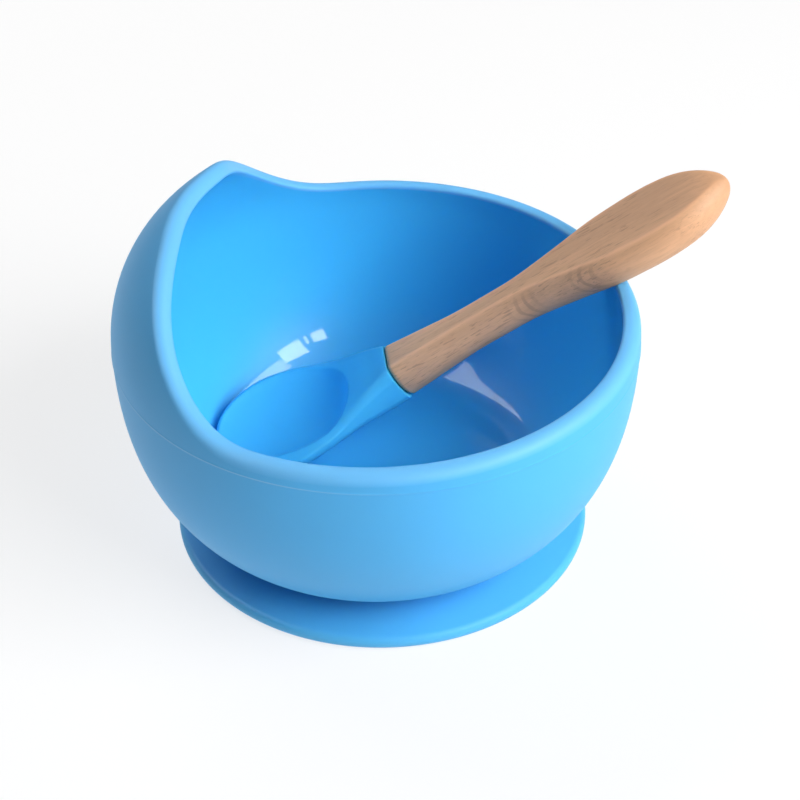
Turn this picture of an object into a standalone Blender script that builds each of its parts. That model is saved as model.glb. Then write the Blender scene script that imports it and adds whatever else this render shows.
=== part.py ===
"""Silicone feeding bowl with a wave-shaped rim, its suction cup, and a baby spoon.

Four pieces: the bowl, the suction cup under it, and a spoon that lies in the
bowl, with a silicone head pushed onto the tenon of a beech handle.
Sizes are in millimetres and become metres when the meshes are made.
Z is up, and z = 0 is the table.
"""

import bmesh
import bpy
import numpy as np

MM = 0.001

# The bowl's axis stands left of the origin, because the spoon reaches out to the right.
AXIS_X = -10.0

# Bowl, outside: widest at one height, drawn in below and above it.
WIDEST_RADIUS = 60.0
WIDEST_HEIGHT = 53.3
LOWER_REACH = 53.0
LOWER_POWERS = (2.36, 3.3)
UPPER_REACH = 38.7
UPPER_POWERS = (2.05, 2.78)
BOWL_BOTTOM = 6.0
WALL = 4.0
FLOOR_HEIGHT = 10.0
CORNER_SOFTENING = 7.0

# Rim: low all round, with one high wave towards -X.
RIM_HEIGHT = 58.9
WAVE_HEIGHT = 26.2
WAVE_CENTRE = np.radians(163.5)
WAVE_REACH_BACK = 1.27
WAVE_REACH_FRONT = 1.44
WAVE_FLATNESS_BACK, WAVE_FLATNESS_FRONT = 3.26, 4.1
WAVE_SOFTNESS_BACK, WAVE_SOFTNESS_FRONT = 5.4, 3.25
RIM_LEAN = (0.8, 1.4)

BOWL_SIDES = 80
UNDER_ROWS = 17
INNER_ROWS = 15
CAP_ROWS = 5

# Suction cup: a low disc with a hollow below and a stem that meets the bowl.
FIT_GAP = 0.3
CUP_RADIUS = 50.0
CUP_OFFSET = 0.9
CUP_EDGE = 3.4
CUP_LIP_INNER = 44.0
STEM_RADIUS = 30.0
CUP_TOP = ((34.0, 5.4), (40.0, 4.8), (45.0, 4.1))
HOLLOW_HEIGHT = 3.0
HOLLOW_SLOPE = ((38.0, 1.4), (30.0, 2.5), (20.0, HOLLOW_HEIGHT))
CUP_SIDES = 72

# Spoon: its frame sits at the seam between the head and the handle.
SEAM = (4.8, 12.0, 32.7)
SPOON_TURN = np.radians(2.2)
SPOON_SLOPE = np.radians(33.8)
SPOON_ROLL = np.radians(9.0)
SEAM_GAP = 0.35
SEAM_HALF_WIDTH = 6.2
SEAM_HALF_THICKNESS = 5.6
SECTION_POWER = 2.7
TENON_LENGTH = 11.0
TENON_WIDTH = 7.0
TENON_THICKNESS = 4.6
TENON_DROP = 0.8
HANDLE_LENGTH = 90.0
HANDLE_STATIONS = (0.0, 9.0, 20.0, 36.0, 48.0, 58.0, 70.0, 80.0, HANDLE_LENGTH)
HANDLE_HALF_WIDTHS = (SEAM_HALF_WIDTH, 5.5, 4.7, 4.8, 7.0, 9.6, 10.6, 9.6, 7.4)
BLANK_STATIONS = (0.0, 20.0, 50.0, HANDLE_LENGTH)
BLANK_HALF_THICKNESSES = (SEAM_HALF_THICKNESS, 4.9, 4.9, 4.6)
TIP_LENGTH = 17.0
HEAD_LENGTH = 48.0
HEAD_BEND = np.radians(15.5)
BEND_LENGTH = 16.0
NECK_LENGTH = 20.0
HEAD_STATIONS = (0.0, 5.0, 12.0, 20.0, 26.0, 30.5)
HEAD_HALF_WIDTHS = (SEAM_HALF_WIDTH, 7.2, 9.6, 13.4, 15.2, 15.6)
HEAD_DEPTH = 6.6
LIP = 1.8
LIP_RISE = 0.8
HOLLOW_CENTRE = 31.0
HOLLOW_DEPTH = 4.8
HANDLE_SIDES = 20
HEAD_SIDES = 28

SILICONE_BLUE = (0.075, 0.365, 0.83, 1.0)
BEECH = (0.56, 0.33, 0.175, 1.0)


def clear_scene():
    for old in list(bpy.data.objects):
        bpy.data.objects.remove(old)


def new_collection(name):
    collection = bpy.data.collections.new(name)
    bpy.context.scene.collection.children.link(collection)
    return collection


def new_material(name, colour, roughness):
    material = bpy.data.materials.new(name)
    material.use_nodes = True
    shader = material.node_tree.nodes["Principled BSDF"]
    shader.inputs["Base Color"].default_value = colour
    shader.inputs["Roughness"].default_value = roughness
    shader.inputs["Metallic"].default_value = 0.0
    material.diffuse_color = colour
    return material


def add_object(name, mesh, collection, parent=None, material=None):
    piece = bpy.data.objects.new(name, mesh)
    collection.objects.link(piece)
    piece.parent = parent
    if material is not None:
        mesh.materials.append(material)
    return piece


def add_empty(name, collection, place, turn=(0.0, 0.0, 0.0), parent=None):
    empty = bpy.data.objects.new(name, None)
    collection.objects.link(empty)
    empty.location = [value * MM for value in place]
    empty.rotation_euler = turn
    empty.parent = parent
    return empty


def smooth_step(value):
    value = np.clip(value, 0.0, 1.0)
    return value * value * (3.0 - 2.0 * value)


def signed_power(value, power):
    return np.sign(value) * np.abs(value) ** power


def outer_radius(height):
    """Radius of the bowl's outside at a height."""
    below = np.clip((WIDEST_HEIGHT - height) / LOWER_REACH, 0.0, 0.999)
    above = np.clip((height - WIDEST_HEIGHT) / UPPER_REACH, 0.0, 0.999)
    low = (1.0 - below ** LOWER_POWERS[0]) ** (1.0 / LOWER_POWERS[1])
    high = (1.0 - above ** UPPER_POWERS[0]) ** (1.0 / UPPER_POWERS[1])
    return WIDEST_RADIUS * low * high


def rim_height(angle):
    """Height of the rim's crest at an angle around the bowl."""
    away = (angle - WAVE_CENTRE + np.pi) % (2.0 * np.pi) - np.pi
    reach = np.where(away < 0.0, WAVE_REACH_BACK, WAVE_REACH_FRONT)
    share = np.clip(np.abs(away) / reach, 0.0, 1.0)
    flatness = np.where(away < 0.0, WAVE_FLATNESS_BACK, WAVE_FLATNESS_FRONT)
    softness = np.where(away < 0.0, WAVE_SOFTNESS_BACK, WAVE_SOFTNESS_FRONT)
    wave = (1.0 - share ** flatness) ** softness
    lean = RIM_LEAN[0] * np.cos(angle) + RIM_LEAN[1] * np.sin(angle)
    return RIM_HEIGHT + WAVE_HEIGHT * wave + lean


def resample(points, count):
    """Evenly spaced points along a polyline, with both of its ends."""
    steps = np.linalg.norm(np.diff(points, axis=0), axis=1)
    along = np.concatenate([[0.0], np.cumsum(steps)])
    wanted = np.linspace(0.0, along[-1], count)
    return np.column_stack([np.interp(wanted, along, points[:, i]) for i in range(2)])


def outward_normals(points):
    """Normals on the right of a polyline that runs up the bowl's side."""
    run = np.gradient(points, axis=0)
    run /= np.linalg.norm(run, axis=1)[:, None]
    return np.column_stack([run[:, 1], -run[:, 0]])


def soften(points, width):
    """Round a polyline's corners by averaging it along its length; its ends stay."""
    even = resample(points, 241)
    length = np.linalg.norm(np.diff(even, axis=0), axis=1).sum()
    reach = max(1, int(round(width / length * 120.0)))
    soft = even.copy()
    for i in range(1, len(even) - 1):
        near = min(reach, i, len(even) - 1 - i)
        soft[i] = even[i - near:i + near + 1].mean(axis=0)
    return soft


def bowl_section(angle):
    """One half section of the bowl: underside and side, round rim, inside and floor."""
    top = float(rim_height(angle)) - WALL / 2
    heights = np.linspace(BOWL_BOTTOM, top, 160)
    side = np.column_stack([outer_radius(heights), heights])
    normals = outward_normals(side)
    inside = side - WALL * normals
    inside = inside[inside[:, 1] > FLOOR_HEIGHT][::-1]
    centre = side[-1] - WALL / 2 * normals[-1]
    turn = np.linspace(0.0, np.pi, CAP_ROWS + 2)[1:-1, None]
    upward = np.array([-normals[-1][1], normals[-1][0]])
    cap = centre + WALL / 2 * (np.cos(turn) * normals[-1] + np.sin(turn) * upward)
    outside = soften(np.vstack([(0.0, BOWL_BOTTOM), side]), CORNER_SOFTENING / 2)
    inside = soften(np.vstack([inside, (0.0, FLOOR_HEIGHT)]), CORNER_SOFTENING)
    return np.vstack([resample(outside, UNDER_ROWS)[1:], cap, resample(inside, INNER_ROWS)[:-1]])


def loft(name, rings, start_pole=None, end_pole=None):
    """Closed mesh from rings of equal length, ended by a pole or by a flat face."""
    bm = bmesh.new()
    rows = [[bm.verts.new([v * MM for v in point]) for point in ring] for ring in rings]
    count = len(rows[0])
    for low, high in zip(rows, rows[1:]):
        for i in range(count):
            j = (i + 1) % count
            bm.faces.new((low[i], low[j], high[j], high[i]))
    for row, pole in ((rows[0][::-1], start_pole), (rows[-1], end_pole)):
        if pole is None:
            bm.faces.new(row)
            continue
        tip = bm.verts.new([v * MM for v in pole])
        for i in range(count):
            bm.faces.new((row[i], row[(i + 1) % count], tip))
    bmesh.ops.recalc_face_normals(bm, faces=bm.faces)
    mesh = bpy.data.meshes.new(name)
    bm.to_mesh(mesh)
    bm.free()
    mesh.shade_smooth()
    mesh.set_sharp_from_angle(angle=np.radians(40.0))
    return mesh


def make_bowl(collection, parent, material):
    angles = np.arange(BOWL_SIDES) * 2.0 * np.pi / BOWL_SIDES
    sections = [bowl_section(angle) for angle in angles]
    rings = []
    for row in range(len(sections[0])):
        ring = [(s[row, 0] * np.cos(a), s[row, 0] * np.sin(a), s[row, 1])
                for a, s in zip(angles, sections)]
        rings.append(ring)
    mesh = loft("bowl", rings, (0.0, 0.0, BOWL_BOTTOM), (0.0, 0.0, FLOOR_HEIGHT))
    return add_object("bowl", mesh, collection, parent, material)


def cup_profile():
    """Right half of the cup's section, from the stem's top down the outside and in below."""
    stem_top = BOWL_BOTTOM - FIT_GAP
    edge = CUP_EDGE / 2
    middle = CUP_RADIUS - edge
    turn = np.radians(np.linspace(78.0, -90.0, 7))
    rounded = [(middle + edge * np.cos(t), edge + edge * np.sin(t)) for t in turn]
    top = [(0.0, stem_top), (STEM_RADIUS, stem_top), *CUP_TOP]
    below = [(CUP_LIP_INNER, 0.0), *HOLLOW_SLOPE, (0.0, HOLLOW_HEIGHT)]
    return top + rounded + below


def make_suction_cup(collection, parent, material):
    profile = cup_profile()
    mesh = bpy.data.meshes.new("suction_cup")
    verts = [(r * MM, 0.0, z * MM) for r, z in profile]
    mesh.from_pydata(verts, [(i, i + 1) for i in range(len(verts) - 1)], [])
    cup = add_object("suction_cup", mesh, collection, parent, material)
    cup.location.x = CUP_OFFSET * MM
    screw = cup.modifiers.new("turn", "SCREW")
    screw.axis = "Z"
    screw.steps = CUP_SIDES
    screw.render_steps = CUP_SIDES
    screw.use_merge_vertices = True
    screw.merge_threshold = 0.00001
    screw.use_smooth_shade = True
    return cup


def superellipse(count, half_width, half_thickness):
    turn = np.arange(count) * 2.0 * np.pi / count
    power = 2.0 / SECTION_POWER
    wide = half_width * signed_power(np.cos(turn), power)
    thick = half_thickness * signed_power(np.sin(turn), power)
    return wide, thick


def handle_half_width(along):
    into_tip = np.clip((along - HANDLE_LENGTH + TIP_LENGTH) / TIP_LENGTH, 0.0, 1.0)
    return np.interp(along, HANDLE_STATIONS, HANDLE_HALF_WIDTHS) * (1.0 - into_tip ** 2.4) ** 0.5


def handle_half_thickness(along):
    into_tip = np.clip((along - HANDLE_LENGTH + TIP_LENGTH) / TIP_LENGTH, 0.0, 1.0)
    return np.interp(along, BLANK_STATIONS, BLANK_HALF_THICKNESSES) * (1.0 - into_tip ** 4.0) ** 0.5


def tenon_ring(along, half_width, half_thickness):
    wide, thick = superellipse(HANDLE_SIDES, half_width, half_thickness)
    return [(along, y, z - TENON_DROP) for y, z in zip(wide, thick)]


def handle_rings():
    """Sections from the tenon's end, past the shoulder at the seam, to the rounded tip."""
    shoulder = SEAM_GAP / 2
    rings = []
    for along, share in ((-TENON_LENGTH, 0.8), (1.0 - TENON_LENGTH, 1.0), (shoulder, 1.0)):
        rings.append(tenon_ring(along, TENON_WIDTH / 2 * share, TENON_THICKNESS / 2 * share))
    tip_start = HANDLE_LENGTH - TIP_LENGTH
    straight = np.linspace(shoulder, tip_start, 17)
    rounded = tip_start + TIP_LENGTH * np.sin(np.radians(np.linspace(15.0, 86.0, 7)))
    for along in np.concatenate([straight, rounded]):
        wide, thick = superellipse(HANDLE_SIDES, handle_half_width(along), handle_half_thickness(along))
        rings.append([(along, y, z) for y, z in zip(wide, thick)])
    return rings


def make_handle(collection, parent, material):
    mesh = loft("spoon_handle", handle_rings(), None, (HANDLE_LENGTH, 0.0, 0.0))
    return add_object("spoon_handle", mesh, collection, parent, material)


def head_path(along):
    """Centre point and tilt of the head's section at a distance from the seam."""
    steps = np.linspace(0.0, along, 60)
    tilts = HEAD_BEND * smooth_step(steps / BEND_LENGTH)
    x = -along * float(np.mean(np.cos(tilts)))
    z = along * float(np.mean(np.sin(tilts)))
    return x, z, float(tilts[-1])


def head_half_width(along):
    widest = HEAD_STATIONS[-1]
    into_end = max(along - widest, 0.0) / (HEAD_LENGTH - widest)
    return float(np.interp(along, HEAD_STATIONS, HEAD_HALF_WIDTHS)) * (1.0 - into_end ** 2.3) ** 0.5


def hollow(along, y):
    """Depth of the spoon's hollow below its lip."""
    half_length = HEAD_LENGTH - HOLLOW_CENTRE - LIP
    half_width = HEAD_HALF_WIDTHS[-1] - LIP
    reach = ((along - HOLLOW_CENTRE) / half_length) ** 2 + (y / half_width) ** 2
    return HOLLOW_DEPTH * max(1.0 - reach, 0.0) ** 0.8


def head_ring(along):
    """One section of the head: crowned neck that opens into the hollowed bowl."""
    x0, z0, tilt = head_path(along)
    half = head_half_width(along)
    opened = float(smooth_step(along / NECK_LENGTH))
    crown = SEAM_HALF_THICKNESS * (1.0 - opened)
    depth = SEAM_HALF_THICKNESS + (HEAD_DEPTH - SEAM_HALF_THICKNESS) * opened
    if along > HEAD_STATIONS[-1]:
        depth *= (half / HEAD_HALF_WIDTHS[-1]) ** 0.6
    rise = LIP_RISE * opened
    ring = []
    for turn in np.arange(HEAD_SIDES) * 2.0 * np.pi / HEAD_SIDES:
        y = half * float(signed_power(np.cos(turn), 2.0 / SECTION_POWER))
        arch = float(np.abs(np.sin(turn)) ** (2.0 / SECTION_POWER))
        if np.sin(turn) >= 0.0:
            z = rise + crown * arch - hollow(along, y)
        else:
            z = rise - (depth + rise) * arch
        ring.append((x0 + z * np.sin(tilt), y, z0 + z * np.cos(tilt)))
    return ring


def make_head(collection, cutters, parent, material):
    widest = HEAD_STATIONS[-1]
    neck = np.linspace(SEAM_GAP / 2, widest, 16)
    rounded = widest + (HEAD_LENGTH - widest) * np.sin(np.radians(np.linspace(8.0, 84.0, 10)))
    rings = [head_ring(along) for along in np.concatenate([neck, rounded])]
    x0, z0, _ = head_path(HEAD_LENGTH)
    mesh = loft("spoon_head", rings, None, (x0, 0.0, z0))
    head = add_object("spoon_head", mesh, collection, parent, material)
    cut = head.modifiers.new("tenon socket", "BOOLEAN")
    cut.operation = "DIFFERENCE"
    cut.solver = "EXACT"
    cut.object = make_socket_cutter(cutters, parent)
    return head


def make_socket_cutter(collection, parent):
    half_width = TENON_WIDTH / 2 + FIT_GAP
    half_thickness = TENON_THICKNESS / 2 + FIT_GAP
    rings = [tenon_ring(along, half_width, half_thickness) for along in (-TENON_LENGTH - FIT_GAP, 3.0)]
    cutter = add_object("socket_cutter", loft("socket_cutter", rings), collection, parent)
    cutter.hide_render = True
    cutter.display_type = "WIRE"
    return cutter


def main():
    clear_scene()
    parts = new_collection("suction_bowl")
    cutters = new_collection("cutters")
    silicone = new_material("blue silicone", SILICONE_BLUE, 0.5)
    spoon_silicone = new_material("spoon silicone", SILICONE_BLUE, 0.45)
    beech = new_material("beech", BEECH, 0.6)
    axis = add_empty("bowl_axis", parts, (AXIS_X, 0.0, 0.0))
    spoon = add_empty("spoon_frame", parts, SEAM, (SPOON_ROLL, -SPOON_SLOPE, SPOON_TURN), axis)
    make_bowl(parts, axis, silicone)
    make_suction_cup(parts, axis, silicone)
    make_head(parts, cutters, spoon, spoon_silicone)
    make_handle(parts, spoon, beech)


main()
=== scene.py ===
"""Looks of a silicone suction bowl with a wave-shaped rim, and of the baby spoon lying in it.

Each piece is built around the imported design, in metres, with Z up and the table at z = 0.
"""

import bmesh
import bpy
import numpy as np
from bpy.props import FloatProperty, FloatVectorProperty, IntProperty, PointerProperty
from mathutils import Euler, Matrix, Vector


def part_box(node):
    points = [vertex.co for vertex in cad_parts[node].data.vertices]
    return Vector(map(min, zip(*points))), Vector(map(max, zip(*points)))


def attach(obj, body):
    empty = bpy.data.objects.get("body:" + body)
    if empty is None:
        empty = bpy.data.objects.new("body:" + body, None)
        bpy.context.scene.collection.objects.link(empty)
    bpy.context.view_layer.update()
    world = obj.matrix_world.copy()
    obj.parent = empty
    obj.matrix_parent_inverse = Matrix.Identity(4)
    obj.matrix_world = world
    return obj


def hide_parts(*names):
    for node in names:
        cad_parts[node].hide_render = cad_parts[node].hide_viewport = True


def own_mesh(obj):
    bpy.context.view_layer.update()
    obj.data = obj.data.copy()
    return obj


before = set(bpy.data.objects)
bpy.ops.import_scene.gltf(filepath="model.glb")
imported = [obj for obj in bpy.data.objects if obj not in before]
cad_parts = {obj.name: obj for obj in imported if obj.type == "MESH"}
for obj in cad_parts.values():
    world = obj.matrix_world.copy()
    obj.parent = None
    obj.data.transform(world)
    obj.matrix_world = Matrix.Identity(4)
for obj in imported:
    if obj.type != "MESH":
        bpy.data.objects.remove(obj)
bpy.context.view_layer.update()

bl_info = {
    "name": "Suction Bowl and Spoon",
    "version": (1, 0, 0),
    "blender": (4, 5, 0),
    "location": "3D View > Sidebar > Suction Bowl",
    "description": "Builds a silicone suction bowl, its suction cup and a spoon with a beech handle",
    "category": "Add Mesh",
}

MM = 0.001

BOWL_LOW, BOWL_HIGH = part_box("bowl")
CUP_LOW, CUP_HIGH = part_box("suction_cup")
BOWL_AXIS = (BOWL_LOW.x + BOWL_HIGH.x) / 2
CUP_AXIS = (CUP_LOW.x + CUP_HIGH.x) / 2

# The bowl's outside: widest at one height, drawn in below and above it.
LOWER_REACH = 53.0 * MM
LOWER_POWERS = (2.36, 3.3)
UPPER_REACH = 38.7 * MM
UPPER_POWERS = (2.05, 2.78)
FLOOR_CORNER = 7.0 * MM
FOOT_CORNER = 3.0 * MM

# The rim's two rounds, as shares of the wall.
RIM_OUTER_ROUND = 0.62
RIM_INNER_ROUND = 0.2

# The rim's wave, towards -X: how far its two slopes reach round, in radians, and their curves.
WAVE_CENTRE = np.radians(163.5)
WAVE_REACH_BACK = 1.27
WAVE_REACH_FRONT = 1.44
WAVE_FLATNESS_BACK, WAVE_FLATNESS_FRONT = 3.26, 4.1
WAVE_SOFTNESS_BACK, WAVE_SOFTNESS_FRONT = 5.4, 3.25
RIM_LEAN = (0.8 * MM, 1.4 * MM)

# The fine ridge that the two halves of the mould leave round the widest place, and the span where a
# painted highlight shows it pale.
PARTING_HEIGHT = 0.12 * MM
PARTING_WIDTH = 0.2 * MM
GLINT_ENDS = (np.radians(170.0), np.radians(285.0))
GLINT_FADE = np.radians(40.0)

INSIDE_ROUGHNESS = 0.4

# The suction cup's section, as radius and height.
STEM_RADIUS = 30.0 * MM
CUP_TOP = ((34.0 * MM, 5.4 * MM), (40.0 * MM, 4.8 * MM), (45.0 * MM, 4.1 * MM))
CUP_EDGE = 1.7 * MM
CUP_LIP_INNER = 44.0 * MM
CUP_HOLLOW = ((38.0 * MM, 1.4 * MM), (30.0 * MM, 2.5 * MM), (20.0 * MM, 3.0 * MM), (0.0, 3.0 * MM))

# The spoon's own frame stands at the seam, with +X along the handle and +Z out of its flat face.
SEAM = Vector((-5.2, 12.0, 32.7)) * MM
SPOON_TURN = Euler(np.radians((9.0, -33.8, 2.2)))
SEAM_GAP = 0.35 * MM
SEAM_HALF_THICKNESS = 5.6 * MM
SIDE_BULGE = 2.4 * MM
SIDE_SHARE = 0.6
RIDGE_WIDTH = 0.55 * MM
SEAM_CHAMFER = 0.45 * MM
HANDLE_LENGTH = 90.0 * MM
HANDLE_STATIONS = np.array((0.0, 9.0, 20.0, 36.0, 48.0, 58.0, 70.0, 80.0, 90.0)) * MM
HANDLE_HALF_WIDTHS = np.array((6.2, 5.5, 4.7, 4.8, 7.0, 9.4, 10.3, 9.4, 7.2)) * MM
BLANK_STATIONS = np.array((0.0, 20.0, 50.0, 90.0)) * MM
BLANK_HALF_THICKNESSES = np.array((5.6, 4.9, 4.9, 4.6)) * MM
TIP_LENGTH = 17.0 * MM
TIP_WIDTH_POWER = 2.4
TIP_THICKNESS_POWER = 4.0
HEAD_LENGTH = 48.0 * MM
HEAD_BEND = np.radians(15.5)
BEND_LENGTH = 7.0 * MM
NECK_LENGTH = 20.0 * MM
HEAD_STATIONS = np.array((0.0, 5.0, 12.0, 20.0, 26.0, 30.5)) * MM
HEAD_FAR_WIDTHS = np.array((6.2, 8.3, 11.2, 13.6, 14.8, 15.0)) * MM
HEAD_NEAR_WIDTHS = np.array((6.2, 7.2, 10.0, 14.6, 17.4, 18.2)) * MM
HEAD_DEPTH = 6.6 * MM
LIP_RISE = 0.8 * MM
LIP_FALL = 1.4 * MM
FRONT_POWER = 2.1

# Where the blank's growth rings have their middle, and where on the near side they show as arches.
RING_CENTRE = (62.0 * MM, -16.0 * MM, 6.0 * MM)
ARCH_PLACES = (36.0 * MM, 52.0 * MM)
ARCH_SPREAD = 3.2 * MM

# The hollow: how far it stays from the head's front, far side and near side, and where it starts.
LIP_FRONT = 0.9 * MM
LIP_FAR = 1.7 * MM
LIP_NEAR = 3.7 * MM
HOLLOW_START = 12.6 * MM
HOLLOW_DEPTH = 4.8 * MM
HOLLOW_POWER = 2.1
HOLLOW_FALL = 0.75

# The stage: the point that lamps and camera face, the floor and the round wall behind it.
AIM = Vector((-4.66, 0.0, 32.8)) * MM
FLOOR_REACH = 3.0
FLOOR_GLOW = 0.72
BACKDROP_REACH = 2.9
BACKDROP_HEIGHT = 4.0
BACKDROP_SIDES = 64
BACKDROP_GLOW = 0.9

# Each lamp's name, the two ends of its middle line as azimuth and elevation, its height, its
# brightness and what it shows in.
LAMPS = (
    ("key", (33.0, 34.0), (87.0, 34.0), 0.6, 1.45, "diffuse"),
    ("back", (-115.0, 36.0), (-175.0, 36.0), 0.45, 0.44, "diffuse"),
    ("left softbox", (-60.0, 53.0), (-116.0, 28.0), 0.4, 0.46, "gloss"),
    ("window pane", (46.3, 31.5), (62.5, 31.5), 0.34, 0.30, "gloss"),
    ("window gap", (41.9, 28.5), (43.9, 28.5), 0.2, 0.018, "gloss"),
    ("window side pane", (31.0, 28.8), (39.3, 28.8), 0.21, 0.10, "gloss"),
    ("window sill", (62.5, 40.5), (108.0, 37.0), 0.19, 0.24, "gloss"),
)


# ---------------------------------------------------------------- curves and meshes


def smooth_step(value):
    """0 below 0, 1 above 1, and a soft step between."""
    value = np.clip(value, 0.0, 1.0)
    return value * value * (3.0 - 2.0 * value)


def resample(points, count):
    """Evenly spaced points along a polyline, with both of its ends."""
    steps = np.linalg.norm(np.diff(points, axis=0), axis=1)
    along = np.concatenate([[0.0], np.cumsum(steps)])
    wanted = np.linspace(0.0, along[-1], count)
    return np.column_stack([np.interp(wanted, along, column) for column in np.transpose(points)])


def rounded(points, width, count):
    """A polyline with its corners rounded over a width, as evenly spaced points; its ends stay."""
    points = np.asarray(points, float)
    length = np.linalg.norm(np.diff(points, axis=0), axis=1).sum()
    even = resample(points, 6 * count)
    reach = max(1, int(round(3 * count * width / length)))
    before = 2.0 * even[0] - even[reach:0:-1]
    after = 2.0 * even[-1] - even[-2:-reach - 2:-1]
    padded = np.vstack([before, even, after])
    kernel = np.full(2 * reach + 1, 1.0 / (2 * reach + 1))
    soft = np.column_stack([np.convolve(column, kernel, "valid") for column in padded.T])
    return resample(soft, count)


def rounded_loop(points, width, count):
    """A closed polyline with its corners rounded, as evenly spaced points from its first one."""
    points = np.asarray(points, float)
    length = np.linalg.norm(np.diff(points, axis=0), axis=1).sum()
    even = resample(points, 6 * count + 1)[:-1]
    reach = max(1, int(round(3 * count * width / length)))
    padded = np.vstack([even[-reach:], even, even[:reach]])
    kernel = np.full(2 * reach + 1, 1.0 / (2 * reach + 1))
    soft = np.column_stack([np.convolve(column, kernel, "valid") for column in padded.T])
    return resample(np.vstack([soft, soft[:1]]), count + 1)[:-1]


def smooth_values(stations, values, width, wanted):
    """Values between stations, with the kinks at the stations smoothed over a width."""
    line = rounded(np.column_stack([stations, values]), width, 200)
    return np.interp(wanted, line[:, 0], line[:, 1])


def grid_faces(rows, columns, wrap):
    """Faces of a grid of points whose columns may close on themselves."""
    index = np.arange(rows * columns).reshape(rows, columns)
    if wrap:
        index = np.column_stack([index, index[:, 0]])
    corners = (index[:-1, :-1], index[:-1, 1:], index[1:, 1:], index[1:, :-1])
    return np.stack(corners, axis=-1).reshape(-1, 4).tolist()


def finish_mesh(mesh, sharp_angle=50.0):
    """Weld what coincides, close open ends and turn every face outwards."""
    bm = bmesh.new()
    bm.from_mesh(mesh)
    bmesh.ops.remove_doubles(bm, verts=bm.verts, dist=0.002 * MM)
    open_edges = [edge for edge in bm.edges if edge.is_boundary]
    if open_edges:
        bmesh.ops.holes_fill(bm, edges=open_edges, sides=0)
    bmesh.ops.recalc_face_normals(bm, faces=bm.faces)
    bm.to_mesh(mesh)
    bm.free()
    mesh.shade_smooth()
    mesh.set_sharp_from_angle(angle=np.radians(sharp_angle))
    return mesh


def grid_mesh(name, grid, wrap, **shares):
    """Mesh over a grid of points; a named share, from 0 to 1, has a value per row or per point."""
    rows, columns = grid.shape[:2]
    mesh = bpy.data.meshes.new(name)
    mesh.from_pydata(grid.reshape(-1, 3).tolist(), [], grid_faces(rows, columns, wrap))
    for share, values in shares.items():
        stored = mesh.attributes.new(share, "FLOAT", "POINT")
        values = np.asarray(values, np.float32)
        spread = np.broadcast_to(values if values.ndim == 2 else values[:, None], (rows, columns))
        stored.data.foreach_set("value", spread.ravel())
    return finish_mesh(mesh)


def revolve(sections, axis_x):
    """Grid of points from one half section for each angle, turned about an upright axis."""
    sections = np.asarray(sections)
    angles = np.arange(len(sections)) * 2.0 * np.pi / len(sections)
    radii = sections[:, :, 0].T
    x = axis_x + radii * np.cos(angles)
    y = radii * np.sin(angles)
    return np.stack([x, y, sections[:, :, 1].T], axis=-1)


def add_piece(name, mesh, body, material, matrix=None, node=None):
    """Put a finished piece in the scene, on its body, in place of its node of the design."""
    piece = bpy.data.objects.new(name, mesh)
    bpy.context.scene.collection.objects.link(piece)
    mesh.materials.append(material)
    if matrix is not None:
        piece.matrix_world = matrix
    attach(piece, body)
    if node is not None:
        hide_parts(node)
    return piece


# ---------------------------------------------------------------- materials


class Link:
    """A node's output in an expression; an operator adds the Math node that it stands for."""

    def __init__(self, paint, socket):
        self.paint = paint
        self.socket = socket

    def math(self, operation, first, second):
        return self.paint.node("ShaderNodeMath", {"operation": operation}, {0: first, 1: second})

    def __add__(self, other):
        return self.math("ADD", self, other)

    def __radd__(self, other):
        return self.math("ADD", other, self)

    def __sub__(self, other):
        return self.math("SUBTRACT", self, other)

    def __rsub__(self, other):
        return self.math("SUBTRACT", other, self)

    def __mul__(self, other):
        return self.math("MULTIPLY", self, other)

    def __rmul__(self, other):
        return self.math("MULTIPLY", other, self)

    def above(self, limit):
        return self.math("GREATER_THAN", self, limit)

    def between(self, low, high):
        """0 up to low, 1 from high, and a soft step from one to the other."""
        return self.paint.node("ShaderNodeMapRange", {"interpolation_type": "SMOOTHSTEP"},
                               {0: self, 1: low, 2: high, 3: 0.0, 4: 1.0})


class Paint:
    """One material: its shader, and the method that adds any other node."""

    def __init__(self, name):
        self.material = bpy.data.materials.new(name)
        self.material.use_nodes = True
        self.tree = self.material.node_tree
        self.shader = self.tree.nodes["Principled BSDF"]

    def node(self, kind, settings=None, values=None, output=0):
        made = self.tree.nodes.new(kind)
        for key, value in (settings or {}).items():
            setattr(made, key, value)
        for key, value in (values or {}).items():
            self.feed(made.inputs[key], value)
        return Link(self, made.outputs[output])

    def feed(self, socket, value):
        if isinstance(value, Link):
            self.tree.links.new(value.socket, socket)
        else:
            socket.default_value = value

    def set(self, **values):
        """Set or link the shader's sockets, named with _ for a space."""
        for key, value in values.items():
            self.feed(self.shader.inputs[key.replace("_", " ")], value)

    def place(self):
        return self.node("ShaderNodeTexCoord", output="Object")

    def stretch(self, vector, scale):
        return self.node("ShaderNodeVectorMath", {"operation": "MULTIPLY"}, {0: vector, 1: scale})

    def shift(self, vector, centre, scale):
        return self.stretch(self.node("ShaderNodeVectorMath", {"operation": "SUBTRACT"},
                                      {0: vector, 1: centre}), scale)

    def noise(self, vector, scale, detail=2.0, roughness=0.5, distortion=0.0):
        return self.node("ShaderNodeTexNoise", None,
                         {"Vector": vector, "Scale": scale, "Detail": detail,
                          "Roughness": roughness, "Distortion": distortion})

    def mix(self, share, first, second):
        """Colour from first to second by a share."""
        return self.node("ShaderNodeMix", {"data_type": "RGBA"}, {0: share, 6: first, 7: second}, 2)

    def share(self, name):
        """A share stored on the mesh, from 0 to 1."""
        return self.node("ShaderNodeAttribute", {"attribute_name": name}, output="Fac")

    def bump(self, height, distance, strength=1.0):
        return self.node("ShaderNodeBump", None,
                         {"Strength": strength, "Distance": distance, "Height": height})


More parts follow.
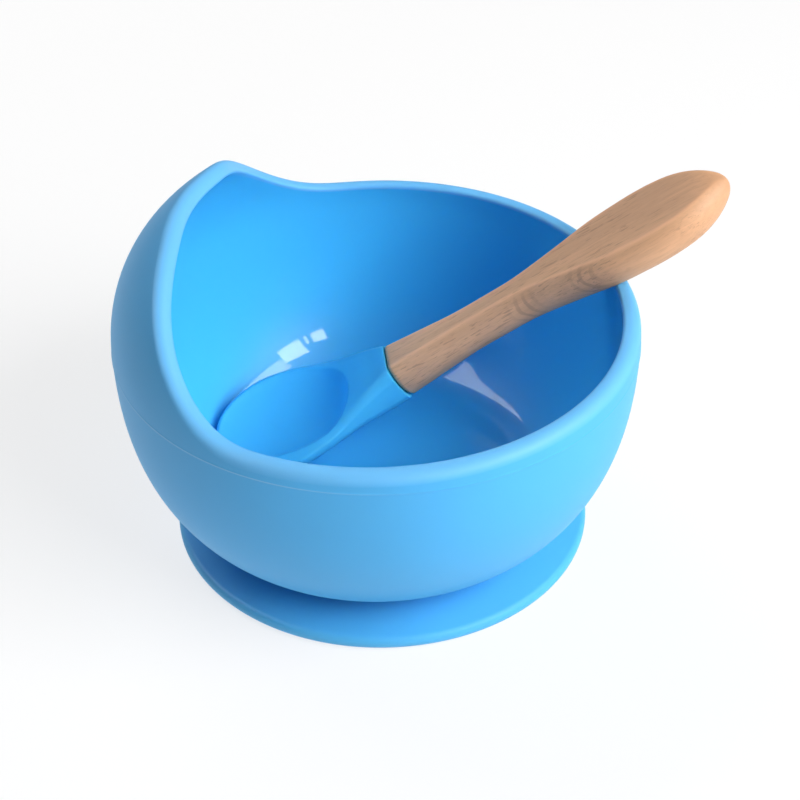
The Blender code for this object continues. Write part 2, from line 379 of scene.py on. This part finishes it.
def tint(colour, share):
    """A colour made lighter or darker by a share."""
    return tuple(min(1.0, value * share) for value in colour[:3]) + (1.0,)


def specks(paint, place, spacing, size, kept):
    """Mask of a few tiny specks, each a share of the spacing across."""
    cell = paint.node("ShaderNodeTexVoronoi", None, {"Vector": place, "Scale": 1.0 / spacing})
    colour = Link(paint, cell.socket.node.outputs["Color"])
    chance = paint.node("ShaderNodeSeparateColor", None, {0: colour})
    return (1.0 - cell.between(size * 0.6, size)) * chance.above(1.0 - kept)


def silicone(name, colour, roughness, inside=None, edge=None, line=None):
    """Soft matt silicone; inside is the smoother moulded face, edge a painted sheen on the rim, line a
    painted highlight along the mould line.
    """
    paint = Paint(name)
    place = paint.place()
    cloud = paint.noise(place, 22.0, 3.0)
    grain = paint.noise(place, 2600.0, 2.0)
    dust = specks(paint, place, 26.0 * MM, 0.012, 0.22)
    body = paint.mix(cloud.between(0.3, 0.7), tint(colour, 0.97), tint(colour, 1.03))
    finish = roughness + (cloud - 0.5) * 0.05 + (grain - 0.5) * 0.05
    relief = grain
    if inside is not None:
        polish = paint.share("polish")
        # The outside's redder, duller colour is partly the matt finish and partly painted sheen, in place
        # of gloss that the diffuse-only key lamp doesn't give.
        body = paint.mix(polish, body, inside)
        finish = finish * (1.0 - polish) + polish * INSIDE_ROUGHNESS
        relief = grain * (1.0 - polish * 0.85)
        paint.set(Coat_Weight=polish * 0.8)
    if edge is not None:
        # Painted sheen: the rim gets a lighter, redder colour where light catches it.
        body = paint.mix(paint.share("edge"), body, edge)
    if line is not None:
        # Painted highlight: the mould line is shown pale where light catches it.
        body = paint.mix(paint.share("line") * 0.45, body, line)
    body = paint.mix(dust * 0.75, body, tint(colour, 0.3))
    paint.set(Base_Color=body, Roughness=finish, IOR=1.41, Coat_Roughness=0.045, Coat_IOR=1.5,
              Subsurface_Weight=0.12, Subsurface_Scale=1.6 * MM,
              Normal=paint.bump(relief, 0.012 * MM, 0.6))
    paint.shader.inputs["Subsurface Radius"].default_value = (0.5, 0.9, 1.0)
    return paint.material


def beech(name, colour):
    """Sanded beech, grain along X: soft streaks, arched growth rings, ray flecks and fine pores."""
    paint = Paint(name)
    place = paint.place()
    bands = paint.noise(paint.stretch(place, (0.10, 1.0, 1.0)), 190.0, 3.0, 0.55, 0.4)
    streaks = paint.noise(paint.stretch(place, (0.045, 1.0, 1.0)), 1100.0, 4.0, 0.65)
    rings = paint.node("ShaderNodeTexWave", {"wave_type": "RINGS", "rings_direction": "SPHERICAL"},
                       {"Vector": paint.shift(place, RING_CENTRE, (0.75, 1.0, 1.0)), "Scale": 190.0,
                        "Distortion": 2.5, "Detail": 2.0, "Detail Scale": 1.2}, 1)
    rays = paint.noise(paint.stretch(place, (0.09, 1.0, 1.0)), 2600.0, 2.0, 0.5)
    thin_out = paint.noise(paint.stretch(place, (0.6, 1.0, 1.0)), 90.0, 2.0)
    pores = paint.noise(paint.stretch(place, (0.07, 1.0, 1.0)), 3600.0, 2.0)
    flecks = rays.between(0.60, 0.66) * thin_out.between(0.42, 0.58)
    ridge_highlight = paint.share("ridge")
    body = paint.mix(bands.between(0.30, 0.70), tint(colour, 0.91), tint(colour, 1.08))
    body = paint.mix(streaks.between(0.32, 0.68) * 0.55, body, tint(colour, 0.80))
    arches = rings.between(0.45, 0.90) * paint.share("arch")
    body = paint.mix(arches * 0.55, body, tint(colour, 0.52))
    body = paint.mix(flecks * 0.55, body, tint(colour, 0.50))
    body = paint.mix(pores.between(0.56, 0.66) * 0.30, body, tint(colour, 0.62))
    # Painted highlight: a thin lighter band along the ridge of the handle's top face.
    body = paint.mix(ridge_highlight * 0.55, body, tint(colour, 1.30))
    body = paint.mix(paint.share("end") * 0.75, body, tint(colour, 0.78))
    relief = streaks * 0.5 - flecks * 0.6 - pores * 0.4
    paint.set(Base_Color=body, Roughness=0.50 + (bands - 0.5) * 0.10 + flecks * 0.1, IOR=1.45,
              Normal=paint.bump(relief, 0.03 * MM, 0.7))
    return paint.material


# ---------------------------------------------------------------- bowl


def outer_radius(height, bowl):
    """Radius of the bowl's outside at a height."""
    below = np.clip((bowl.widest_height - height) / LOWER_REACH, 0.0, 0.999)
    above = np.clip((height - bowl.widest_height) / UPPER_REACH, 0.0, 0.999)
    low = (1.0 - below ** LOWER_POWERS[0]) ** (1.0 / LOWER_POWERS[1])
    high = (1.0 - above ** UPPER_POWERS[0]) ** (1.0 / UPPER_POWERS[1])
    return bowl.widest_radius * low * high


def rim_height(angle, bowl):
    """Height of the rim's crest at an angle round the bowl."""
    away = (angle - WAVE_CENTRE + np.pi) % (2.0 * np.pi) - np.pi
    reach = np.where(away < 0.0, WAVE_REACH_BACK, WAVE_REACH_FRONT)
    share = np.clip(np.abs(away) / reach, 0.0, 1.0)
    flatness = np.where(away < 0.0, WAVE_FLATNESS_BACK, WAVE_FLATNESS_FRONT)
    softness = np.where(away < 0.0, WAVE_SOFTNESS_BACK, WAVE_SOFTNESS_FRONT)
    wave = (1.0 - share ** flatness) ** softness
    lean = RIM_LEAN[0] * np.cos(angle) + RIM_LEAN[1] * np.sin(angle)
    return float(bowl.rim_height + bowl.wave_height * wave + lean)


def outward_normals(points):
    """Unit normals on the right of a polyline that runs up the bowl's side."""
    run = np.gradient(points, axis=0)
    run /= np.linalg.norm(run, axis=1)[:, None]
    return np.column_stack([run[:, 1], -run[:, 0]])


def rim_cap(edge, normal, wall):
    """Points over the rim: a wide round outside, a narrow flat top and a tight round inside."""
    up = np.array([-normal[1], normal[0]])
    outer = RIM_OUTER_ROUND * wall
    inner = RIM_INNER_ROUND * wall
    turns = np.radians(np.linspace(6.0, 90.0, 9))[:, None]
    centre = edge - outer * normal
    first = centre + outer * (np.cos(turns) * normal + np.sin(turns) * up)
    centre = edge - (wall - inner) * normal + (outer - inner) * up
    turns = np.radians(np.linspace(90.0, 180.0, 7))[:, None]
    second = centre + inner * (np.cos(turns) * normal + np.sin(turns) * up)
    return np.vstack([first, second])


def bowl_section(angle, bowl, lower_outside, lower_inside):
    """Half section at an angle: underside, side, parting line, rim, inside and floor."""
    top = rim_height(angle, bowl) - RIM_OUTER_ROUND * bowl.wall
    heights = np.linspace(bowl.widest_height, top, 90)
    side = np.column_stack([outer_radius(heights, bowl), heights])
    normals = outward_normals(side)
    normals[0] = (1.0, 0.0)
    cap = rim_cap(side[-1], normals[-1], bowl.wall)
    near_line = np.column_stack([
        outer_radius(bowl.widest_height + np.arange(4) * PARTING_WIDTH, bowl)
        + PARTING_HEIGHT * np.exp(-np.arange(4.0) ** 2),
        bowl.widest_height + np.arange(4) * PARTING_WIDTH,
    ])
    above_line = side[heights > near_line[-1, 1]]
    upper_outside = np.vstack([near_line, resample(above_line, 26)])
    upper_inside = resample((side - bowl.wall * normals)[::-1], 40)
    start = cap[-1]
    upper_inside = upper_inside[upper_inside[:, 1] < start[1] - 0.2 * MM]
    upper_inside = resample(np.vstack([start, upper_inside]), 40)
    return np.vstack([lower_outside, upper_outside, cap, upper_inside[1:-1], lower_inside])


def lower_paths(bowl):
    """The stretches of the half section below the parting line, the same all round."""
    heights = np.linspace(bowl.bottom, bowl.widest_height, 200)
    side = np.column_stack([outer_radius(heights, bowl), heights])
    normals = outward_normals(side)
    normals[-1] = (1.0, 0.0)
    outside = rounded(np.vstack([(0.0, bowl.bottom), side]), FOOT_CORNER, 60)
    below = PARTING_WIDTH * np.array([3.0, 2.0, 1.0])
    line = np.column_stack([
        outer_radius(bowl.widest_height - below, bowl)
        + PARTING_HEIGHT * np.exp(-(below / PARTING_WIDTH) ** 2),
        bowl.widest_height - below,
    ])
    outside = np.vstack([outside[outside[:, 1] < line[0, 1] - PARTING_WIDTH], line])
    inside = side - bowl.wall * normals
    inside = inside[inside[:, 1] > bowl.floor_height][::-1]
    inside = rounded(np.vstack([inside, (0.0, bowl.floor_height)]), FLOOR_CORNER, 70)
    return outside, inside


def make_bowl_mesh(bowl):
    """Bowl from its half sections, with shares for the inside, the rim's painted sheen and the mould
    line's painted highlight.
    """
    outside, inside = lower_paths(bowl)
    angles = np.arange(bowl.sides) * 2.0 * np.pi / bowl.sides
    sections = [bowl_section(angle, bowl, outside, inside) for angle in angles]
    rows = len(sections[0])
    first_inside = rows - len(inside) - 38
    row = np.arange(rows)
    polish = smooth_step((row - first_inside + 3.0) / 4.0)
    # The edge share marks the rim's rows for their painted sheen.
    edge = smooth_step((row - first_inside + 18.0) / 5.0) * (1.0 - smooth_step((row - first_inside) / 2.0))
    # Painted highlight along the mould line, only over the span where it catches the light.
    glint_span = smooth_step((angles - GLINT_ENDS[0]) / GLINT_FADE)
    glint_span *= smooth_step((GLINT_ENDS[1] - angles) / GLINT_FADE)
    line = np.outer(row == len(outside), glint_span)
    return grid_mesh("bowl_shell", revolve(sections, BOWL_AXIS), True, polish=polish, edge=edge, line=line)


# ---------------------------------------------------------------- suction cup


def make_cup_mesh(sides):
    """Disc with a rounded edge, a stem that meets the bowl, and a hollow below."""
    middle = (CUP_HIGH.x - CUP_LOW.x) / 2 - CUP_EDGE
    top = rounded([(0.0, CUP_HIGH.z), (STEM_RADIUS, CUP_HIGH.z), *CUP_TOP], 3.0 * MM, 40)
    turn = np.radians(np.linspace(80.0, -90.0, 24))
    edge = np.column_stack([middle + CUP_EDGE * np.cos(turn), CUP_EDGE + CUP_EDGE * np.sin(turn)])
    below = rounded([(CUP_LIP_INNER, 0.0), *CUP_HOLLOW], 2.0 * MM, 40)
    section = np.vstack([top, edge, below])
    return grid_mesh("suction_disc", revolve([section] * sides, CUP_AXIS), True)


# ---------------------------------------------------------------- spoon


def spoon_matrix():
    """Where the spoon's own frame stands."""
    return Matrix.Translation(SEAM) @ SPOON_TURN.to_matrix().to_4x4()


def blank_height(offset, half_width, half_thickness):
    """Height of the blank's section at an offset: flat, then a ridge and a bulged side."""
    bulge = min(SIDE_BULGE, SIDE_SHARE * half_width)
    radius = (half_thickness ** 2 + bulge ** 2) / (2.0 * bulge)
    past = np.maximum(np.abs(offset) - (half_width - bulge), 0.0)
    side = np.sqrt(np.maximum(radius ** 2 - (radius - bulge + past) ** 2, 0.0))
    return np.where(past > 0.0, side, half_thickness)


def handle_loop(half_width, half_thickness, count=140):
    """Closed section of the handle, from its +Y side over the top."""
    across = half_width * np.cos(np.linspace(0.0, np.pi, 181))
    height = blank_height(across, half_width, half_thickness)
    top = np.column_stack([across, height])
    under = top[::-1] * (1.0, -1.0)
    return rounded_loop(np.vstack([top, under[1:]]), min(0.4 * MM, 0.15 * half_width), count)


def make_handle_mesh():
    """Handle from its chamfered seam to its rounded tip, with shares for the ridge's painted highlight,
    the end and the arches.
    """
    tip_start = HANDLE_LENGTH - TIP_LENGTH
    shoulder = SEAM_GAP / 2
    chamfer = shoulder + np.array([0.0, 0.12, 0.3, 0.6]) * MM
    straight = np.linspace(shoulder + 1.0 * MM, tip_start, 120)
    tip = tip_start + TIP_LENGTH * np.sin(np.radians(np.linspace(2.0, 89.0, 60)))
    rings = []
    ridges = []
    ends = []
    arches = []
    for along in np.concatenate([chamfer, straight, tip]):
        into_tip = np.clip((along - tip_start) / TIP_LENGTH, 0.0, 1.0)
        width = smooth_values(HANDLE_STATIONS, HANDLE_HALF_WIDTHS, 8.0 * MM, along)
        width *= (1.0 - into_tip ** TIP_WIDTH_POWER) ** 0.5
        thickness = smooth_values(BLANK_STATIONS, BLANK_HALF_THICKNESSES, 8.0 * MM, along)
        thickness *= (1.0 - into_tip ** TIP_THICKNESS_POWER) ** 0.5
        inset = SEAM_CHAMFER * (1.0 - smooth_step((along - shoulder) / (0.8 * MM)) ** 0.5)
        half_width = width - inset
        loop = handle_loop(half_width, thickness - inset)
        rings.append(np.column_stack([np.full(len(loop), along), loop]))
        corner = (half_width - min(SIDE_BULGE, SIDE_SHARE * half_width), thickness - inset)
        ridges.append(np.exp(-(np.linalg.norm(np.abs(loop) - corner, axis=1) / RIDGE_WIDTH) ** 2))
        ends.append(into_tip ** 2)
        patches = sum(np.exp(-((along - middle) / ARCH_SPREAD) ** 2) for middle in ARCH_PLACES)
        arches.append(patches * smooth_step(-loop[:, 0] / width * 2.0 - 1.0))
    centre = np.array([HANDLE_LENGTH, 0.0, 0.0])
    rings.append(np.tile(centre, (len(rings[0]), 1)))
    ridges.append(np.zeros(len(ridges[0])))
    ends.append(1.0)
    arches.append(np.zeros(len(ridges[0])))
    return grid_mesh("spoon_grip", np.array(rings), True, ridge=np.array(ridges), end=np.array(ends),
                     arch=np.array(arches))


def head_outline(half_widths):
    """One side of the head in plan, from the seam round to the front: distance and offset."""
    widest = HEAD_STATIONS[-1]
    along = np.linspace(0.0, widest, 120)
    side = np.column_stack([along, smooth_values(HEAD_STATIONS, half_widths, 5.0 * MM, along)])
    turn = np.linspace(0.0, np.pi / 2, 120)[1:]
    front = np.column_stack([
        widest + (HEAD_LENGTH - widest) * np.sin(turn) ** (2.0 / FRONT_POWER),
        side[-1, 1] * np.cos(turn),
    ])
    return rounded(np.vstack([side, front]), 3.0 * MM, 110)


def head_place(along, across, height):
    """From distance, offset and height over the head's bent middle line to the spoon's frame."""
    steps = np.linspace(0.0, HEAD_LENGTH, 400)
    tilts = HEAD_BEND * smooth_step(steps / BEND_LENGTH)
    run = np.concatenate([[0.0], np.cumsum(np.cos(tilts[:-1]) * np.diff(steps))])
    climb = np.concatenate([[0.0], np.cumsum(np.sin(tilts[:-1]) * np.diff(steps))])
    tilt = np.interp(along, steps, tilts)
    x = -np.interp(along, steps, run) + height * np.sin(tilt)
    z = np.interp(along, steps, climb) + height * np.cos(tilt)
    return np.stack([x, across, z], axis=-1)


def hollow(along, across):
    """Depth of the spoon's hollow below its lip."""
    half_length = (HEAD_LENGTH - LIP_FRONT - HOLLOW_START) / 2.0
    half_width = (HEAD_FAR_WIDTHS[-1] - LIP_FAR + HEAD_NEAR_WIDTHS[-1] - LIP_NEAR) / 2.0
    forward = (along - HOLLOW_START) / half_length - 1.0
    sideways = (across - HEAD_FAR_WIDTHS[-1] + LIP_FAR) / half_width + 1.0
    reach = np.abs(forward) ** HOLLOW_POWER + np.abs(sideways) ** HOLLOW_POWER
    return HOLLOW_DEPTH * np.maximum(1.0 - reach, 0.0) ** HOLLOW_FALL


def head_rib(along, across, spine):
    """Points from the spine underneath, round the side at an outline point, to the spine on top."""
    share = np.sin(np.linspace(0.0, np.pi / 2, 60))
    s = spine + share * (along - spine)
    offset = share * across
    opened = smooth_step(s / NECK_LENGTH)
    width = max(abs(across), MM)
    neck = np.mean([blank_height(share * width + step, width, SEAM_HALF_THICKNESS)
                    for step in np.array((-1.5, -1.0, -0.5, 0.0)) * MM], axis=0)
    brim = -LIP_FALL * share ** 5
    under = -(1.0 - opened) * neck + opened * (brim - HEAD_DEPTH * (1.0 - share ** 3.0) ** 0.55)
    over = (1.0 - opened) * neck + opened * (LIP_RISE + brim) - hollow(s, offset)
    path = np.vstack([
        np.column_stack([s, offset, under]),
        np.column_stack([s, offset, over])[::-1],
    ])
    path = rounded(path, 0.8 * MM, 120)
    return head_place(path[:, 0], path[:, 1], path[:, 2])


def make_head_mesh():
    """Head from ribs over its outline, far side and near side on one spine."""
    far = head_outline(HEAD_FAR_WIDTHS)
    near = head_outline(HEAD_NEAR_WIDTHS) * (1.0, -1.0)
    spine = np.clip((near[:, 0] + far[:, 0]) / 2.0, SEAM_GAP / 2, HEAD_STATIONS[-1])
    outline = np.column_stack([np.vstack([near, far[::-1][1:]]), [*spine, *spine[::-1][1:]]])
    outline[:, 0] = np.maximum(outline[:, 0], SEAM_GAP / 2)
    return grid_mesh("spoon_scoop", np.array([head_rib(*point) for point in outline]), False)


# ---------------------------------------------------------------- stage


def around(aim, azimuth, elevation, distance):
    """A place at a distance from the aim; azimuth 0 is in front, towards -Y, and 90 is towards +X."""
    turn, rise = np.radians(azimuth), np.radians(elevation)
    way = Vector((np.sin(turn) * np.cos(rise), -np.cos(turn) * np.cos(rise), np.sin(rise)))
    return aim + distance * way


def add_light(name, aim, first, last, height, brightness, shows_in):
    """Area light a metre away that lights a white surface facing it to the brightness.

    Its middle line runs from the first to the last azimuth and elevation. It shows in diffuse
    light or in gloss, so that the soft light and the reflections are set apart.
    """
    ends = [around(aim, azimuth, elevation, 1.0) for azimuth, elevation in (first, last)]
    away = ((ends[0] + ends[1]) / 2.0 - aim).normalized()
    along = ends[1] - ends[0]
    across = away.cross(along).normalized()
    data = bpy.data.lights.new(name, "AREA")
    data.shape = "RECTANGLE"
    data.size, data.size_y = along.length, height
    data.energy = brightness * np.pi ** 2
    light = bpy.data.objects.new(name, data)
    bpy.context.scene.collection.objects.link(light)
    turn = Matrix((across.cross(away), across, away)).transposed().to_4x4()
    light.matrix_world = Matrix.Translation(aim + away) @ turn
    light.visible_glossy = shows_in != "diffuse"
    light.visible_diffuse = shows_in != "gloss"


def make_world(brightness):
    """Even light from all round."""
    world = bpy.data.worlds.new("studio")
    bpy.context.scene.world = world
    world.use_nodes = True
    back = world.node_tree.nodes["Background"]
    back.inputs["Color"].default_value = (1.0, 1.0, 1.0, 1.0)
    back.inputs["Strength"].default_value = brightness


def make_floor(colour):
    """Pale floor with a glow of its own, just under the table height."""
    mesh = bpy.data.meshes.new("floor")
    reach = FLOOR_REACH
    corners = [(-reach, -reach, 0.0), (reach, -reach, 0.0), (reach, reach, 0.0), (-reach, reach, 0.0)]
    mesh.from_pydata(corners, [], [(0, 1, 2, 3)])
    floor = bpy.data.objects.new("floor", mesh)
    bpy.context.scene.collection.objects.link(floor)
    floor.location.z = -0.05 * MM
    paint = Paint("pale floor")
    paint.set(Base_Color=colour, Roughness=0.9, Emission_Color=(1.0, 1.0, 1.0, 1.0))
    paint.shader.inputs["Emission Strength"].default_value = FLOOR_GLOW
    mesh.materials.append(paint.material)


def make_backdrop():
    """Pale round wall that the camera sees and that lights and reflects nothing."""
    turn = np.radians(np.arange(BACKDROP_SIDES) * 360.0 / BACKDROP_SIDES)
    ring = np.column_stack([np.cos(turn), np.sin(turn), np.zeros(BACKDROP_SIDES)]) * BACKDROP_REACH
    mesh = bpy.data.meshes.new("backdrop")
    top = ring + (0.0, 0.0, BACKDROP_HEIGHT)
    mesh.from_pydata([*ring, *top], [], grid_faces(2, BACKDROP_SIDES, True))
    wall = bpy.data.objects.new("backdrop", mesh)
    bpy.context.scene.collection.objects.link(wall)
    wall.visible_diffuse = wall.visible_glossy = wall.visible_transmission = False
    wall.visible_shadow = False
    paint = Paint("pale backdrop")
    paint.set(Base_Color=(0.0, 0.0, 0.0, 1.0), Roughness=1.0, Emission_Color=(1.0, 1.0, 1.0, 1.0))
    paint.shader.inputs["Emission Strength"].default_value = BACKDROP_GLOW
    mesh.materials.append(paint.material)


def make_camera(stage, aim):
    """Camera in front of the bowl, looking down at the aim."""
    data = bpy.data.cameras.new("camera")
    data.lens = stage.lens
    data.sensor_width = 36.0
    data.clip_start = 0.01
    camera = bpy.data.objects.new("camera", data)
    bpy.context.scene.collection.objects.link(camera)
    turn = Matrix.Rotation(np.pi / 2 - stage.elevation, 4, "X") @ Matrix.Rotation(stage.roll, 4, "Z")
    place = around(aim, 0.0, np.degrees(stage.elevation), stage.distance)
    camera.matrix_world = Matrix.Translation(place) @ turn
    bpy.context.scene.camera = camera


# ---------------------------------------------------------------- settings, operators, panel


class BowlSettings(bpy.types.PropertyGroup):
    """Sizes and finish of the bowl and the suction cup."""

    widest_radius: FloatProperty(
        name="Widest radius", description="Radius of the bowl where it is widest",
        default=(BOWL_HIGH.x - BOWL_LOW.x) / 2, unit="LENGTH")
    bottom: FloatProperty(
        name="Underside", description="Height of the bowl's underside over the table",
        default=BOWL_LOW.z, unit="LENGTH")
    widest_height: FloatProperty(
        name="Widest height", description="Height at which the bowl is widest",
        default=53.3 * MM, unit="LENGTH")
    floor_height: FloatProperty(
        name="Floor", description="Height of the bowl's inner floor", default=10.0 * MM, unit="LENGTH")
    wall: FloatProperty(
        name="Wall", description="Thickness of the silicone", default=4.0 * MM, unit="LENGTH")
    rim_height: FloatProperty(
        name="Rim", description="Height of the low rim", default=58.9 * MM, unit="LENGTH")
    wave_height: FloatProperty(
        name="Wave", description="Height of the wave over the low rim", default=26.2 * MM, unit="LENGTH")
    sides: IntProperty(name="Sides", description="Sections round the bowl", default=288, min=32)
    # Outside colour: partly the matt finish, partly painted sheen, redder than the inside.
    colour: FloatVectorProperty(
        name="Silicone", description="Colour of the matt silicone", subtype="COLOR", size=4,
        min=0.0, max=1.0, default=(0.07, 0.42, 0.82, 1.0))
    inside_colour: FloatVectorProperty(
        name="Inside", description="Colour of the smooth inside", subtype="COLOR", size=4,
        min=0.0, max=1.0, default=(0.055, 0.48, 0.88, 1.0))
    # Lighter rim colour: a painted sheen on the rim.
    rim_sheen_colour: FloatVectorProperty(
        name="Rim", description="Colour of the thin rim", subtype="COLOR", size=4,
        min=0.0, max=1.0, default=(0.14, 0.48, 0.86, 1.0))
    # Pale mould line colour: a painted highlight on the fine ridge.
    line_glint_colour: FloatVectorProperty(
        name="Mould line", description="Colour of the fine line round the widest part", subtype="COLOR",
        size=4, min=0.0, max=1.0, default=(0.42, 0.70, 0.95, 1.0))
    cup_colour: FloatVectorProperty(
        name="Cup", description="Colour of the suction cup", subtype="COLOR", size=4,
        min=0.0, max=1.0, default=(0.08, 0.435, 0.80, 1.0))
    matt: FloatProperty(
        name="Roughness", description="Roughness of the matt silicone", default=0.5,
        subtype="FACTOR", min=0.0, max=1.0)


class SpoonSettings(bpy.types.PropertyGroup):
    """Finish of the spoon."""

    head_colour: FloatVectorProperty(
        name="Head", description="Colour of the silicone head", subtype="COLOR", size=4,
        min=0.0, max=1.0, default=(0.06, 0.47, 0.82, 1.0))
    wood_colour: FloatVectorProperty(
        name="Beech", description="Colour of the beech handle", subtype="COLOR", size=4,
        min=0.0, max=1.0, default=(0.71, 0.395, 0.22, 1.0))


class StageSettings(bpy.types.PropertyGroup):
    """Camera, floor and light."""

    distance: FloatProperty(
        name="Distance", description="From the camera to the bowl", default=0.38, unit="LENGTH")
    elevation: FloatProperty(
        name="Elevation", description="Angle of the camera over the table",
        default=np.radians(36.12), unit="ROTATION")
    roll: FloatProperty(
        name="Roll", description="Turn of the camera about its view", default=np.radians(-0.22),
        unit="ROTATION")
    lens: FloatProperty(
        name="Lens", description="Focal length", default=72.4, unit="CAMERA")
    daylight: FloatProperty(
        name="Daylight", description="Brightness of the light from all round", default=0.1, min=0.0)


class BowlOperator(bpy.types.Operator):
    """Build the silicone bowl with its wave-shaped rim"""

    bl_idname = "suction_bowl.bowl"
    bl_label = "Bowl"

    def execute(self, context):
        bowl = context.scene.bowl_settings
        material = silicone("blue silicone", bowl.colour, bowl.matt, bowl.inside_colour, bowl.rim_sheen_colour,
                            bowl.line_glint_colour)
        add_piece("bowl_shell", make_bowl_mesh(bowl), "bowl", material, node="bowl")
        return {"FINISHED"}


class CupOperator(bpy.types.Operator):
    """Build the suction cup that the bowl stands on"""

    bl_idname = "suction_bowl.cup"
    bl_label = "Suction cup"

    def execute(self, context):
        bowl = context.scene.bowl_settings
        material = silicone("cup silicone", bowl.cup_colour, bowl.matt)
        cup = add_piece("suction_disc", make_cup_mesh(bowl.sides), "base", material,
                        node="suction_cup")
        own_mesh(cup)
        return {"FINISHED"}


class SpoonHeadOperator(bpy.types.Operator):
    """Build the spoon's silicone head"""

    bl_idname = "suction_bowl.spoon_head"
    bl_label = "Spoon head"

    def execute(self, context):
        spoon = context.scene.spoon_settings
        material = silicone("spoon silicone", spoon.head_colour, 0.45)
        add_piece("spoon_scoop", make_head_mesh(), "spoon", material,
                  spoon_matrix(), "spoon_head")
        return {"FINISHED"}


class SpoonHandleOperator(bpy.types.Operator):
    """Build the spoon's beech handle"""

    bl_idname = "suction_bowl.spoon_handle"
    bl_label = "Spoon handle"

    def execute(self, context):
        spoon = context.scene.spoon_settings
        add_piece("spoon_grip", make_handle_mesh(), "spoon",
                  beech("beech", spoon.wood_colour), spoon_matrix(), "spoon_handle")
        return {"FINISHED"}


class StageOperator(bpy.types.Operator):
    """Set the floor, the lights and the camera"""

    bl_idname = "suction_bowl.stage"
    bl_label = "Stage"

    def execute(self, context):
        stage = context.scene.stage_settings
        context.scene.view_settings.view_transform = "Standard"
        make_world(stage.daylight)
        make_floor((0.25, 0.25, 0.25, 1.0))
        make_backdrop()
        for name, *lamp in LAMPS:
            add_light(name, AIM, *lamp)
        make_camera(stage, AIM)
        return {"FINISHED"}


class SuctionBowlPanel(bpy.types.Panel):
    """Lists what this add-on builds"""

    bl_idname = "VIEW3D_PT_suction_bowl"
    bl_label = "Suction Bowl"
    bl_space_type = "VIEW_3D"
    bl_region_type = "UI"
    bl_category = "Suction Bowl"

    def draw(self, context):
        for operator in OPERATORS:
            self.layout.operator(operator.bl_idname)
        for settings in (context.scene.bowl_settings, context.scene.spoon_settings,
                         context.scene.stage_settings):
            box = self.layout.box()
            for name in settings.__annotations__:
                box.prop(settings, name)


OPERATORS = (BowlOperator, CupOperator, SpoonHeadOperator, SpoonHandleOperator, StageOperator)
CLASSES = (BowlSettings, SpoonSettings, StageSettings, *OPERATORS, SuctionBowlPanel)


def register():
    for item in CLASSES:
        bpy.utils.register_class(item)
    bpy.types.Scene.bowl_settings = PointerProperty(type=BowlSettings)
    bpy.types.Scene.spoon_settings = PointerProperty(type=SpoonSettings)
    bpy.types.Scene.stage_settings = PointerProperty(type=StageSettings)


def unregister():
    del bpy.types.Scene.stage_settings
    del bpy.types.Scene.spoon_settings
    del bpy.types.Scene.bowl_settings
    for item in reversed(CLASSES):
        bpy.utils.unregister_class(item)


def main():
    register()
    bpy.ops.suction_bowl.bowl()
    bpy.ops.suction_bowl.cup()
    bpy.ops.suction_bowl.spoon_head()
    bpy.ops.suction_bowl.spoon_handle()
    bpy.ops.suction_bowl.stage()


if __name__ == "__main__":
    main()
